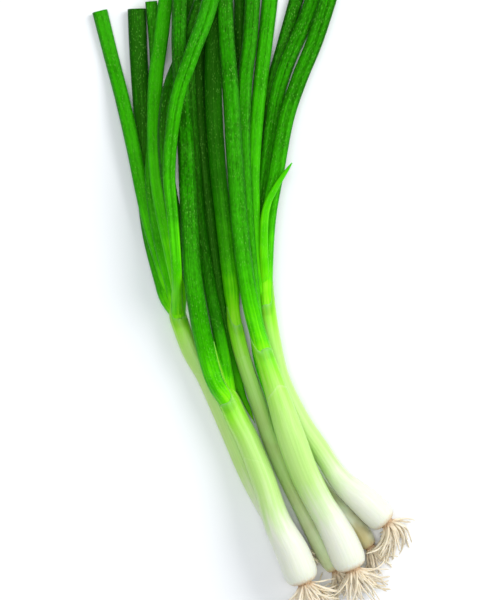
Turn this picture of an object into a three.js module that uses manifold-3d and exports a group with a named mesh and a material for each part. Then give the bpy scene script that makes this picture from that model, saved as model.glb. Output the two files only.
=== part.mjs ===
// A bunch of six spring onions lying on a flat surface, in millimetres, +Z up.
// Each onion is a pale stalk (bulb and shank), its hollow green leaves and its tuft of roots.
// Routes are plan points in the bunch's own lying frame: X to the right, Y towards the leaf ends.
// At the end the bunch is turned so that its length runs along Y, and centred over the origin.

import * as THREE from "three";
import { mergeVertices } from "three/addons/utils/BufferGeometryUtils.js";
import Module from "manifold-3d";

const wasm = await Module();
wasm.setup();

// Driving dimensions
const TURN = THREE.MathUtils.degToRad(-12.4); // from the lying frame to the bunch's length along Y
const CLEAR = 0.7; // space kept between pieces that lie on each other
const FIT = 0.35; // space between a piece and the one that holds it
const FLAT_SPOT = 0.35; // how far a stalk on the surface is pressed flat
const STEP = 2.5; // spacing of the samples that settle onto each other

const BULB_END = 8; // length of the blunt end between the root plate and the bulb's full width
const BULB_BLUNTNESS = 2.3;
const SHEATH_WALL = 0.7;
const SHEATH_DEPTH = 6; // how deep the leaves' neck sits in the sheath mouth
const STALK_SIDES = 12;
const STALK_RING = 8; // spacing of the rings of a stalk

const LEAF_WALL = 1;
const LEAF_FLATNESS = 0.64; // height of a leaf over its width
const LEAF_OPENING = 14; // depth of the hollow at a cut end
const LEAF_SPREAD = 18; // length over which a leaf widens from the neck
const LEAF_SIDES = 8;
const LEAF_RING = 10;
const NECK_TAPER = 9; // length of the neck above the sheath mouth

const PLATE_THICKNESS = 1.8;
const ROOT_RADIUS = [0.6, 0.38]; // where it leaves the plate, and at its tip
const ROOT_SIDES = 3;
const ROOT_STEP = 4.4;
const ROOT_CLEAR = 0.35;

// Stiffness: how far, in millimetres, a piece starts to rise before what it lies on
const STALK_EASE = 15;
const LEAF_EASE = 12.5;
const NEAR_NECK = 12; // a neck rises with its leaves' needs within this length
const TOGETHER = 20; // leaves of one onion stay grown together for this length from the neck
const PARTING = 35; // and lie fully on each other this much further out
const PASSES = 5; // rounds of settling

// Onions: stalk route from the root plate to the neck, radii, then leaves from the neck to the tip.
// A leaf's widths are at its neck end and at its far end.
const ONIONS = {
  a: {
    stalk: [[27, -140], [21, -125], [13.5, -110], [7, -90], [-1, -70], [-6, -60], [-10.5, -50]],
    bulb: 8.8, shank: 6.1, neck: 5.6, plate: 3.9, bulbLength: 42,
    leaves: {
      a1: { widths: [10, 7.6], fold: 0.1, route: [[-17.3, -40], [-23, -20], [-28, 10], [-30, 40], [-31.6, 70],
        [-33.5, 100], [-35, 125], [-35, 156]] },
      a2: { widths: [7, 6], fold: 0, route: [[-13, -30], [-19.5, 3.5], [-25.3, 40], [-27.5, 67.5],
        [-29.3, 95], [-30.5, 125], [-29.5, 152.5]] },
      a3: { widths: [7, 7.4], fold: 0.15, route: [[-15.5, -37.5], [-25.5, -7.5], [-32.2, 22.5], [-39.5, 52.5],
        [-42.3, 80], [-40, 104], [-32.5, 125], [-24.5, 149]] },
    },
  },
  b: {
    stalk: [[51, -133.5], [45.3, -120], [40, -110], [34, -100], [26.5, -85], [19.3, -65], [14.5, -50], [6.3, -25]],
    bulb: 8.8, shank: 7.3, neck: 4.9, plate: 4, bulbLength: 30,
    leaves: {
      b1: { widths: [8.8, 8.4], fold: 0.1, route: [[0, 0], [-4.4, 30], [-7.6, 70], [-9.3, 100], [-11.7, 130],
        [-12.8, 157.5]] },
      b2: { widths: [5.4, 8.2], fold: 0.1, route: [[3, -5], [-0.5, 30], [-2.5, 60], [-3.3, 85], [-2.5, 110],
        [0, 130], [1.5, 155]] },
    },
  },
  c: {
    stalk: [[68, -111], [57.5, -101], [45.3, -90], [35, -75], [25, -60], [15.5, -40], [11, -20], [8.5, -2.5]],
    bulb: 8, shank: 5, neck: 4.2, plate: 3.6, bulbLength: 36,
    leaves: {
      c1: { widths: [5, 8.4], fold: 0.1, route: [[4, 10], [3, 30], [1.8, 60], [3.3, 90], [5.9, 115], [8.8, 140],
        [10.5, 157]] },
      c2: { widths: [4.8, 4.4], fold: 0.1, pointed: true, route: [[7.5, 10], [6.8, 30], [8, 45], [12.3, 55],
        [20.8, 68]] },
      c3: { widths: [7, 8.8], fold: 0.25, route: [[8, 15], [9.3, 40], [13.5, 65], [18, 90], [24.5, 110],
        [32.5, 130], [40.5, 155]] },
    },
  },
  d: {
    stalk: [[43, -135], [35, -121.5], [25, -102.5], [12.5, -76], [3.5, -50], [-4, -27.5], [-7.5, -12.5]],
    bulb: 5.2, shank: 4.2, neck: 3.9, plate: 2.8, bulbLength: 30,
    leaves: {
      d1: { widths: [8, 9.4], fold: 0.1, route: [[-9.3, 5], [-12.6, 35], [-16, 65], [-18.1, 95], [-18.5, 120],
        [-17.5, 156]] },
    },
  },
  e: {
    stalk: [[25, -126], [19, -118], [10.5, -107.5], [0, -89], [-12.5, -60], [-22, -39], [-30, -25], [-36, -9]],
    bulb: 5.9, shank: 4.8, neck: 4.5, plate: 3.1, bulbLength: 30,
    leaves: {
      e1: { widths: [8, 7.4], fold: 0.1, route: [[-35.4, 5], [-39.3, 25], [-44, 47.5], [-46.5, 65], [-47.5, 85],
        [-47, 110], [-44.5, 130], [-41.5, 155]] },
      e2: { widths: [6.6, 7.8], fold: 0.1, route: [[-42, 10], [-49.5, 35], [-54, 55], [-58, 75], [-63.8, 100],
        [-70.5, 125], [-75.5, 145]] },
      e3: { widths: [7.4, 9.6], fold: 0.1, route: [[-41.5, 0], [-44.5, 10], [-50.5, 35], [-53.5, 65],
        [-54.3, 95], [-56, 125], [-56.8, 146]] },
      e4: { widths: [5.4, 6.2], fold: 0.15, route: [[-40, 7.5], [-46, 32.5], [-49.5, 57.5], [-49, 80],
        [-47.5, 110], [-47.7, 128], [-49.5, 149.5]] },
      e5: { widths: [4.6, 8.8], fold: 0.25, route: [[-36.2, 15], [-38.1, 40], [-39.8, 60], [-38.8, 80],
        [-35.5, 100], [-29, 120], [-22, 140], [-18, 156]] },
    },
  },
  f: {
    stalk: [[60, -123.5], [53, -113.5], [45, -105], [37, -96], [29.5, -85], [21.5, -72], [15.8, -61]],
    bulb: 5, shank: 4.1, neck: 3.8, plate: 2.7, bulbLength: 30, together: 60,
    leaves: {
      f1: { widths: [5.4, 8.8], fold: 0.25, route: [[8.9, -44], [3.8, -25], [2.8, 0], [4.2, 25], [6.2, 50],
        [9.3, 75], [13, 100], [19, 120], [28, 140], [33.5, 155]] },
      f2: { widths: [5, 7.4], fold: 0.1, route: [[9.1, -44], [3.9, -25], [2.5, 0], [3.2, 30], [4.4, 60],
        [7, 85], [10.5, 105], [17.5, 130], [24.5, 155]] },
      f3: { widths: [5, 6.4], fold: 0, route: [[8.7, -44], [3.6, -25], [1.6, 0], [-0.5, 25], [-2.5, 60],
        [-4, 100], [-5, 130], [-5, 155]] },
    },
  },
};

// The outer leaf of onion d leaves the shank below the neck, so it starts beside the stalk
const OUTER_LEAF = { widths: [5.6, 6.8], fold: 0.1, route: [[-0.4, -55.5], [-6, -42.5], [-10.5, -27.5],
  [-16.5, 10], [-20.8, 45], [-24, 75], [-26, 105], [-24.5, 135], [-24.5, 152.5]] };
const OUTER_LEAF_BASE = 1.4; // half its width where it starts

// What lies under what, from the surface up
const STACK = ["d2", "stalk_e", "stalk_d", "stalk_f", "e3", "f3", "f2", "f1", "e2", "e4", "e1", "d1", "stalk_c",
  "c3", "c1", "c2", "stalk_a", "a2", "a3", "a1", "stalk_b", "b2", "b1", "e5"];

// Roots: how many grow in each tuft, how long they are, how far they spread, and how much each
// tuft's heading turns in plan for each millimetre that it grows
const ROOT_ORDER = ["e", "d", "f", "a", "b", "c"];
const ROOT_COUNT = 19;
const ROOT_LENGTHS = { a: [16, 23], b: [15, 22], c: [14, 22], d: [9, 15], e: [8, 13], f: [10, 16] };
const ROOT_SPREAD = 0.8;
const ROOT_LEAN = { a: [0.015, 0], b: [0.01, -0.01], c: [-0.06, -0.03], d: [0, 0], e: [0, 0], f: [0.03, 0] };
const ROOT_TRIES = 14;
const ROOT_SHORTEST = 6;

const UP = new THREE.Vector3(0, 0, 1);

const { smoothstep, lerp } = THREE.MathUtils;

// A repeatable random sequence between 0 and 1
function randomFrom(seed) {
  let state = seed;
  return () => {
    state = (state * 1664525 + 1013904223) % 4294967296;
    return state / 4294967296;
  };
}

// Radii and widths along a piece

function stalkRadius(onion, s, length) {
  if (s < BULB_END) {
    const inward = 1 - Math.max(s, 0) / BULB_END;
    const round = (1 - inward ** BULB_BLUNTNESS) ** (1 / BULB_BLUNTNESS);
    return lerp(onion.plate, onion.bulb, round);
  }
  const body = lerp(onion.bulb, onion.shank, smoothstep(s, BULB_END, BULB_END + onion.bulbLength));
  return lerp(body, onion.neck, smoothstep(s, length * 0.55, length));
}

function neckRadius(onion) {
  return onion.neck - SHEATH_WALL - FIT;
}

function leafHalfWidth(leaf, s, length) {
  const full = lerp(leaf.widths[0], leaf.widths[1], s / length) / 2;
  const wide = lerp(leaf.base, full, smoothstep(s, 3, LEAF_SPREAD));
  if (!leaf.pointed) return wide;
  return wide * Math.sqrt(Math.max(1 - (s / length) ** 3, 0.02));
}

function leafFlatness(s) {
  return lerp(0.95, LEAF_FLATNESS, smoothstep(s, 3, LEAF_SPREAD));
}

// Plan route of a piece as evenly spaced samples
function planSamples(route, from = 0) {
  const curve = new THREE.SplineCurve(route.map(([x, y]) => new THREE.Vector2(x, y)));
  const start = from / (route.length - 1);
  const dense = [];
  for (let i = 0; i <= 400; i += 1) dense.push(curve.getPoint(lerp(start, 1, i / 400)));
  const path = new THREE.CurvePath();
  for (let i = 1; i < dense.length; i += 1) path.add(new THREE.LineCurve(dense[i - 1], dense[i]));
  const length = path.getLength();
  const count = Math.round(length / STEP);
  const points = path.getSpacedPoints(count);
  return { length, samples: points.map((point) => ({ x: point.x, y: point.y, z: 0 })) };
}

// Every stalk and leaf as one piece to settle: samples with half-width w and half-height h
function makePieces() {
  const pieces = {};
  for (const [name, onion] of Object.entries(ONIONS)) {
    const stalk = { onion: name, ...planSamples(onion.stalk), ease: STALK_EASE };
    stalk.samples.forEach((sample, i) => {
      const s = (i / (stalk.samples.length - 1)) * stalk.length;
      sample.w = stalkRadius(onion, s, stalk.length);
      sample.h = sample.w;
      sample.s = s;
    });
    pieces[`stalk_${name}`] = stalk;
    for (const [leafName, leaf] of Object.entries(onion.leaves)) {
      leaf.base = neckRadius(onion) * 0.95;
      const points = [...onion.stalk.slice(-2), ...leaf.route];
      pieces[leafName] = { onion: name, leaf, ...planSamples(points, 1), ease: LEAF_EASE };
    }
  }
  OUTER_LEAF.base = OUTER_LEAF_BASE;
  pieces.d2 = { onion: "outer", leaf: OUTER_LEAF, ...planSamples(OUTER_LEAF.route), ease: LEAF_EASE };
  for (const piece of Object.values(pieces)) {
    if (!piece.leaf) continue;
    piece.samples.forEach((sample, i) => {
      const s = (i / (piece.samples.length - 1)) * piece.length;
      sample.w = leafHalfWidth(piece.leaf, s, piece.length);
      sample.h = sample.w * leafFlatness(s);
      sample.s = s;
    });
  }
  return pieces;
}

// Height that a sample needs to lie clear on top of a lower piece
function heightOver(sample, lower, share) {
  let need = 0;
  for (let j = 1; j < lower.samples.length; j += 1) {
    const a = lower.samples[j - 1];
    const b = lower.samples[j];
    const dx = b.x - a.x;
    const dy = b.y - a.y;
    const along = ((sample.x - a.x) * dx + (sample.y - a.y) * dy) / (dx * dx + dy * dy);
    const t = THREE.MathUtils.clamp(along, 0, 1);
    const distance = Math.hypot(sample.x - a.x - t * dx, sample.y - a.y - t * dy);
    const span = sample.w + lerp(a.w, b.w, t) + CLEAR;
    if (distance >= span) continue;
    const rise = (sample.h + lerp(a.h, b.h, t) + CLEAR) * Math.sqrt(1 - (distance / span) ** 2);
    need = Math.max(need, lerp(a.z, b.z, t) + rise * share);
  }
  return need;
}

// Leaves of one onion are grown together at the neck and lie on each other further out
function shareOfRise(piece, sample, lower) {
  if (piece.onion !== lower.onion) return 1;
  const together = ONIONS[piece.onion].together ?? TOGETHER;
  return piece.leaf && lower.leaf ? smoothstep(sample.s, together, together + PARTING) : 0;
}

// A smooth line that never goes below the needed heights: widen the peaks, then average
function eased(need, ease) {
  const reach = Math.round(ease / STEP);
  const around = (list, i, fold) => fold(...list.slice(Math.max(i - reach, 0), i + reach + 1));
  const wide = need.map((_, i) => around(need, i, Math.max));
  const mean = (...values) => values.reduce((sum, value) => sum + value, 0) / values.length;
  return wide.map((_, i) => around(wide, i, mean));
}

function settle(pieces) {
  const order = STACK.map((name) => pieces[name]);
  let neckNeed = {};
  for (let pass = 0; pass < PASSES; pass += 1) {
    const nextNeed = {};
    order.forEach((piece, rank) => {
      const need = piece.samples.map((sample) => {
        const resting = piece.leaf ? sample.h : sample.h - FLAT_SPOT;
        const heights = order.slice(0, rank).map((lower) => {
          const share = shareOfRise(piece, sample, lower);
          return share > 0 ? heightOver(sample, lower, share) : 0;
        });
        return Math.max(resting, ...heights);
      });
      if (!piece.leaf) {
        need[need.length - 1] = Math.max(need.at(-1), neckNeed[piece.onion] ?? 0);
      }
      const height = eased(need, piece.ease);
      const stalk = pieces[`stalk_${piece.onion}`];
      piece.samples.forEach((sample, i) => {
        sample.z = height[i];
        if (!piece.leaf || !stalk) return;
        sample.z = lerp(stalk.samples.at(-1).z, height[i], smoothstep(sample.s, 0, LEAF_SPREAD));
      });
      if (!piece.leaf || !stalk) return;
      const nearNeck = need.filter((_, i) => piece.samples[i].s < NEAR_NECK);
      nextNeed[piece.onion] = Math.max(nextNeed[piece.onion] ?? 0, ...nearNeck);
    });
    neckNeed = nextNeed;
  }
}

// Where a distance along a settled piece is, with its direction and the two directions of its section
function frameAt(samples, s) {
  const spacing = samples[1].s - samples[0].s;
  const place = THREE.MathUtils.clamp(s / spacing, 0, samples.length - 1);
  const i = Math.min(Math.floor(place), samples.length - 2);
  const at = (k) => {
    const sample = samples[THREE.MathUtils.clamp(k, 0, samples.length - 1)];
    return new THREE.Vector3(sample.x, sample.y, sample.z);
  };
  const slope = (k) => at(k + 1).sub(at(k - 1)).normalize();
  const along = slope(i).lerp(slope(i + 1), place - i).normalize();
  const point = at(i).lerp(at(i + 1), place - i);
  const past = s - THREE.MathUtils.clamp(s, 0, samples.at(-1).s);
  point.addScaledVector(along, past);
  const across = new THREE.Vector3().crossVectors(along, UP).normalize();
  const up = new THREE.Vector3().crossVectors(across, along);
  return { point, along, across, up };
}

// Merge the shared vertices and drop the triangles that close up on the axis
function weld(geometry) {
  geometry.deleteAttribute("normal");
  geometry.deleteAttribute("uv");
  const merged = mergeVertices(geometry, 1e-4);
  const index = merged.index.array;
  const kept = [];
  for (let i = 0; i < index.length; i += 3) {
    const [p, q, r] = [index[i], index[i + 1], index[i + 2]];
    if (p !== q && q !== r && r !== p) kept.push(p, q, r);
  }
  merged.setIndex(kept);
  return merged;
}

// A lathe turned about a straight axis, then bent along a settled piece.
// shape moves a section point: (across, up, distance) to the point's own two offsets.
function bent(profile, sides, samples, shape, phase = 0) {
  const turned = new THREE.LatheGeometry(profile, sides, phase);
  const body = weld(turned);
  const position = body.attributes.position;
  for (let i = 0; i < position.count; i += 1) {
    const frame = frameAt(samples, position.getY(i));
    const [x, z] = shape(position.getX(i), position.getZ(i), position.getY(i));
    const place = frame.point.addScaledVector(frame.across, x).addScaledVector(frame.up, z);
    position.setXYZ(i, place.x, place.y, Math.max(place.z, 0));
  }
  return body;
}

function ringsBetween(start, end, spacing) {
  const count = Math.max(Math.round((end - start) / spacing), 1);
  return Array.from({ length: count }, (_, i) => lerp(start, end, (i + 1) / count));
}

// The bulb and shank, closed at the root end, with the sheath mouth at the neck
function stalkGeometry(onion, piece) {
  const { length, samples } = piece;
  const blunt = [0.06, 0.2, 0.42, 0.7, 1].map((share) => share * BULB_END);
  const rings = [0, ...blunt, ...ringsBetween(BULB_END, length, STALK_RING)];
  const outline = rings.map((s) => new THREE.Vector2(stalkRadius(onion, s, length), s));
  const mouth = onion.neck - SHEATH_WALL;
  const profile = [
    new THREE.Vector2(0, 0),
    ...outline,
    new THREE.Vector2(mouth, length),
    new THREE.Vector2(mouth, length - SHEATH_DEPTH),
    new THREE.Vector2(0, length - SHEATH_DEPTH),
  ];
  const flatSideDown = Math.PI / STALK_SIDES;
  return bent(profile, STALK_SIDES, samples, (x, z) => [x, z], flatSideDown);
}

// One leaf, closed at the neck, with the open hollow of a cut end or a pointed tip
function leafGeometry(leaf, piece) {
  const { length, samples } = piece;
  const start = 0.6;
  const rings = [start, ...ringsBetween(start, length, LEAF_RING)];
  const halfWidth = (s) => leafHalfWidth(leaf, s, length);
  const profile = [new THREE.Vector2(0, start), ...rings.map((s) => new THREE.Vector2(halfWidth(s), s))];
  if (!leaf.pointed) {
    const floor = length - LEAF_OPENING;
    profile.push(new THREE.Vector2(halfWidth(length) - LEAF_WALL, length));
    profile.push(new THREE.Vector2(halfWidth(floor) - LEAF_WALL, floor));
    profile.push(new THREE.Vector2(0, floor));
  } else {
    profile.push(new THREE.Vector2(0, length));
  }
  return bent(profile, LEAF_SIDES, samples, (x, z, s) => {
    const wide = halfWidth(s);
    const crease = leaf.fold * wide * smoothstep(s, LEAF_SPREAD, LEAF_SPREAD * 2);
    const dip = crease * Math.exp(-((x / (0.4 * wide)) ** 2));
    return [x, z * leafFlatness(s) - dip];
  });
}

// The leaves' common neck, which sits in the sheath mouth and runs out between the leaves
function neckGeometry(onion, stalk) {
  const radius = neckRadius(onion);
  const { length } = stalk;
  const profile = [
    new THREE.Vector2(0, length - SHEATH_DEPTH + FIT),
    new THREE.Vector2(radius, length - SHEATH_DEPTH + FIT),
    new THREE.Vector2(radius, length + 1.5),
    new THREE.Vector2(radius * 0.55, length + NECK_TAPER),
    new THREE.Vector2(0, length + NECK_TAPER),
  ];
  return bent(profile, STALK_SIDES, stalk.samples, (x, z) => [x, z]);
}

// Joining

function solid(geometry) {
  const mesh = new wasm.Mesh({
    numProp: 3,
    vertProperties: new Float32Array(geometry.attributes.position.array),
    triVerts: new Uint32Array(geometry.index.array),
  });
  return new wasm.Manifold(mesh);
}

// Fuse bodies, filling any hollow that the fusing seals
function fused(geometries) {
  let body = solid(geometries[0]);
  for (const geometry of geometries.slice(1)) body = body.add(solid(geometry));
  const shells = body.decompose().filter((shell) => shell.volume() > 0);
  shells.sort((p, q) => q.volume() - p.volume());
  const mesh = shells[0].getMesh();
  const joined = new THREE.BufferGeometry();
  joined.setAttribute("position", new THREE.BufferAttribute(new Float32Array(mesh.vertProperties), 3));
  joined.setIndex(Array.from(mesh.triVerts));
  return joined;
}

// Roots

// One root's line: it leaves the plate in its own direction, which the pull turns at each millimetre
function rootLine(start, direction, length, pull) {
  const count = Math.max(Math.round(length / ROOT_STEP), 2);
  const step = length / count;
  const heading = direction.clone();
  const line = [{ x: start.x, y: start.y, z: start.z, s: 0 }];
  const place = start.clone();
  for (let i = 1; i <= count; i += 1) {
    place.addScaledVector(heading.normalize(), step);
    place.z = Math.max(place.z, ROOT_RADIUS[0]);
    heading.addScaledVector(pull, step);
    line.push({ x: place.x, y: place.y, z: place.z, s: i * step });
  }
  return line;
}

// Space from a point to the nearest of the other onions' stalks and roots
function roomAt(point, name, pieces, grown) {
  let room = Infinity;
  for (const letter of Object.keys(ONIONS)) {
    if (letter === name) continue;
    for (const sample of pieces[`stalk_${letter}`].samples) {
      const distance = Math.hypot(point.x - sample.x, point.y - sample.y, point.z - sample.z);
      room = Math.min(room, distance - sample.h);
    }
  }
  for (const other of grown) {
    if (other.name === name) continue;
    for (let i = 1; i < other.line.length; i += 1) {
      for (const t of [0, 0.33, 0.67, 1]) {
        const a = other.line[i - 1];
        const b = other.line[i];
        const distance = Math.hypot(point.x - lerp(a.x, b.x, t), point.y - lerp(a.y, b.y, t),
          point.z - lerp(a.z, b.z, t));
        room = Math.min(room, distance - ROOT_RADIUS[0] * 1.2);
      }
    }
  }
  return room;
}

// How many steps of a root's line are clear of everything else
function clearSteps(line, name, pieces, grown) {
  for (let i = 1; i < line.length; i += 1) {
    for (const t of [0.33, 0.67, 1]) {
      const point = { x: lerp(line[i - 1].x, line[i].x, t), y: lerp(line[i - 1].y, line[i].y, t),
        z: lerp(line[i - 1].z, line[i].z, t) };
      if (roomAt(point, name, pieces, grown) < ROOT_RADIUS[0] * 1.2 + ROOT_CLEAR) return i - 1;
    }
  }
  return line.length - 1;
}

// A tuft: each root tries directions until it finds room, spaced over the plate like seeds
function growTuft(name, pieces, grown) {
  const onion = ONIONS[name];
  const random = randomFrom(1000 + name.charCodeAt(0) * 77);
  const frame = frameAt(pieces[`stalk_${name}`].samples, 0);
  const out = frame.along.clone().negate();
  const [shortest, longest] = ROOT_LENGTHS[name];
  for (let i = 0; i < ROOT_COUNT; i += 1) {
    const ring = Math.sqrt((i + 0.5) / ROOT_COUNT);
    const turn = i * 2.4;
    const side = frame.across.clone().multiplyScalar(Math.cos(turn)).addScaledVector(frame.up, Math.sin(turn));
    const start = frame.point.clone().addScaledVector(out, FIT + PLATE_THICKNESS * 0.5)
      .addScaledVector(side, ring * (onion.plate - 1.1));
    let best = [];
    for (let attempt = 0; attempt < ROOT_TRIES; attempt += 1) {
      const wander = frame.across.clone().multiplyScalar((random() - 0.5) * (0.5 + attempt * 0.12))
        .addScaledVector(frame.up, (random() - 0.5) * (0.3 + attempt * 0.1));
      const direction = out.clone().addScaledVector(side, ring * ROOT_SPREAD).add(wander);
      const length = lerp(shortest, longest, random());
      const pull = new THREE.Vector3(...ROOT_LEAN[name], -0.03 - random() * 0.05);
      const line = rootLine(start, direction, length, pull);
      const clear = line.slice(0, clearSteps(line, name, pieces, grown) + 1);
      if (clear.length > best.length) best = clear;
      if (clear.length === line.length) break;
    }
    if (best.length > 1 && best.at(-1).s >= ROOT_SHORTEST) grown.push({ name, line: best });
  }
}

function rootGeometry(line) {
  const length = line.at(-1).s;
  const radius = (s) => lerp(ROOT_RADIUS[0], ROOT_RADIUS[1], s / length);
  const profile = [
    new THREE.Vector2(0, 0),
    ...line.map((sample) => new THREE.Vector2(radius(sample.s), sample.s)),
    new THREE.Vector2(0, length),
  ];
  return bent(profile, ROOT_SIDES, line, (x, z) => [x, z]);
}

// The tan plate at the bulb's end, with a short core under the tuft
function plateGeometry(onion, stalk) {
  const radius = onion.plate - 0.3;
  const profile = [[0, -5], [0.9, -5], [1.9, -3], [radius * 0.8, -FIT - PLATE_THICKNESS], [radius, -FIT - 0.6],
    [radius, -FIT], [0, -FIT]];
  const points = profile.map(([r, s]) => new THREE.Vector2(r, s));
  return bent(points, LEAF_SIDES, stalk.samples, (x, z) => [x, z]);
}

// The bunch

const STALK_FINISH = new THREE.MeshStandardMaterial({ color: "#e4f2cf", roughness: 0.35, metalness: 0 });
const LEAF_FINISH = new THREE.MeshStandardMaterial({ color: "#2f8f14", roughness: 0.4, metalness: 0 });
const ROOT_FINISH = new THREE.MeshStandardMaterial({ color: "#dcc7a2", roughness: 0.8, metalness: 0 });

function named(name, geometry, finish) {
  const mesh = new THREE.Mesh(geometry, finish);
  mesh.name = name;
  return mesh;
}

const pieces = makePieces();
settle(pieces);

const bunch = new THREE.Group();
for (const [name, onion] of Object.entries(ONIONS)) {
  const stalk = pieces[`stalk_${name}`];
  const leaves = Object.entries(onion.leaves).map(([leafName, leaf]) => leafGeometry(leaf, pieces[leafName]));
  bunch.add(named(`stalk_${name}`, stalkGeometry(onion, stalk), STALK_FINISH));
  bunch.add(named(`leaves_${name}`, fused([neckGeometry(onion, stalk), ...leaves]), LEAF_FINISH));
}
bunch.add(named("outer_leaf_d", leafGeometry(OUTER_LEAF, pieces.d2), LEAF_FINISH));

const grown = [];
for (const name of ROOT_ORDER) {
  growTuft(name, pieces, grown);
  const lines = grown.filter((root) => root.name === name).map((root) => root.line);
  const parts = [plateGeometry(ONIONS[name], pieces[`stalk_${name}`]), ...lines.map(rootGeometry)];
  bunch.add(named(`roots_${name}`, fused(parts), ROOT_FINISH));
}

bunch.rotation.z = TURN;
bunch.updateMatrixWorld(true);
const box = new THREE.Box3().setFromObject(bunch, true);
bunch.position.set(-(box.min.x + box.max.x) / 2, -(box.min.y + box.max.y) / 2, -box.min.z);
bunch.updateMatrixWorld(true);

export default bunch;
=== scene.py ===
# %% [markdown]
# # A bunch of spring onions, dressed in Blender
#
# Six spring onions lie on a pale surface. Each is a white bulb with a pale shank, a fan of hollow green
# leaves cut straight across, and a tuft of tan roots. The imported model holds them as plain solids. This
# script puts a finer skin on the same routes, and gives every surface a procedural finish.

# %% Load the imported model
import math

import bpy
import numpy as np
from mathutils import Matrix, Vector


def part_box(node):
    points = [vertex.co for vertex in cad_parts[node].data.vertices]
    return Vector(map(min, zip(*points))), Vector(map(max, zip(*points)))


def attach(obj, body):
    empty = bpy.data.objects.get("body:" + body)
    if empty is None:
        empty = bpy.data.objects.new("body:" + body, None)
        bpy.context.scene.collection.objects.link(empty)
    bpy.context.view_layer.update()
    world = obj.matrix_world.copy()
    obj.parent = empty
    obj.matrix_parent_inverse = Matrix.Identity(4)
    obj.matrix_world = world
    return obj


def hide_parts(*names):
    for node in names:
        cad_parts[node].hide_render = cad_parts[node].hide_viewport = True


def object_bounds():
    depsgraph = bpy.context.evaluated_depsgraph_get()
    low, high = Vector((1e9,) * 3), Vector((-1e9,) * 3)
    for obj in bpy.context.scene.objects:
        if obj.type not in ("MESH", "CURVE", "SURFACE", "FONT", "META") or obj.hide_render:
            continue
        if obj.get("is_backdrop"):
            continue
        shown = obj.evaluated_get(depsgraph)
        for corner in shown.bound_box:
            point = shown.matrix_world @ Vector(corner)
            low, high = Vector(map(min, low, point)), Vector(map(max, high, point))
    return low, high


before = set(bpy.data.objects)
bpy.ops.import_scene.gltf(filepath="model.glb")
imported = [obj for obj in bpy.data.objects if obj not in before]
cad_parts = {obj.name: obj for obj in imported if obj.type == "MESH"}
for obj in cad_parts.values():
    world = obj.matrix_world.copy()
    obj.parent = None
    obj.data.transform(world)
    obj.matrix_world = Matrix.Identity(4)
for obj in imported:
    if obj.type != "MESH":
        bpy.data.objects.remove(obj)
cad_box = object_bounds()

print("packed nodes:", len(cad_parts))

# %% [markdown]
# ## The routes
#
# A spring onion is a long soft line: the stalk runs from the root plate to the neck, and the leaves go on
# from there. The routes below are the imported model's own, in millimetres, as points seen from above.
# Writing them as a few points and drawing a smooth curve through them keeps the bends gentle, as those of a
# stem are.

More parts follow.
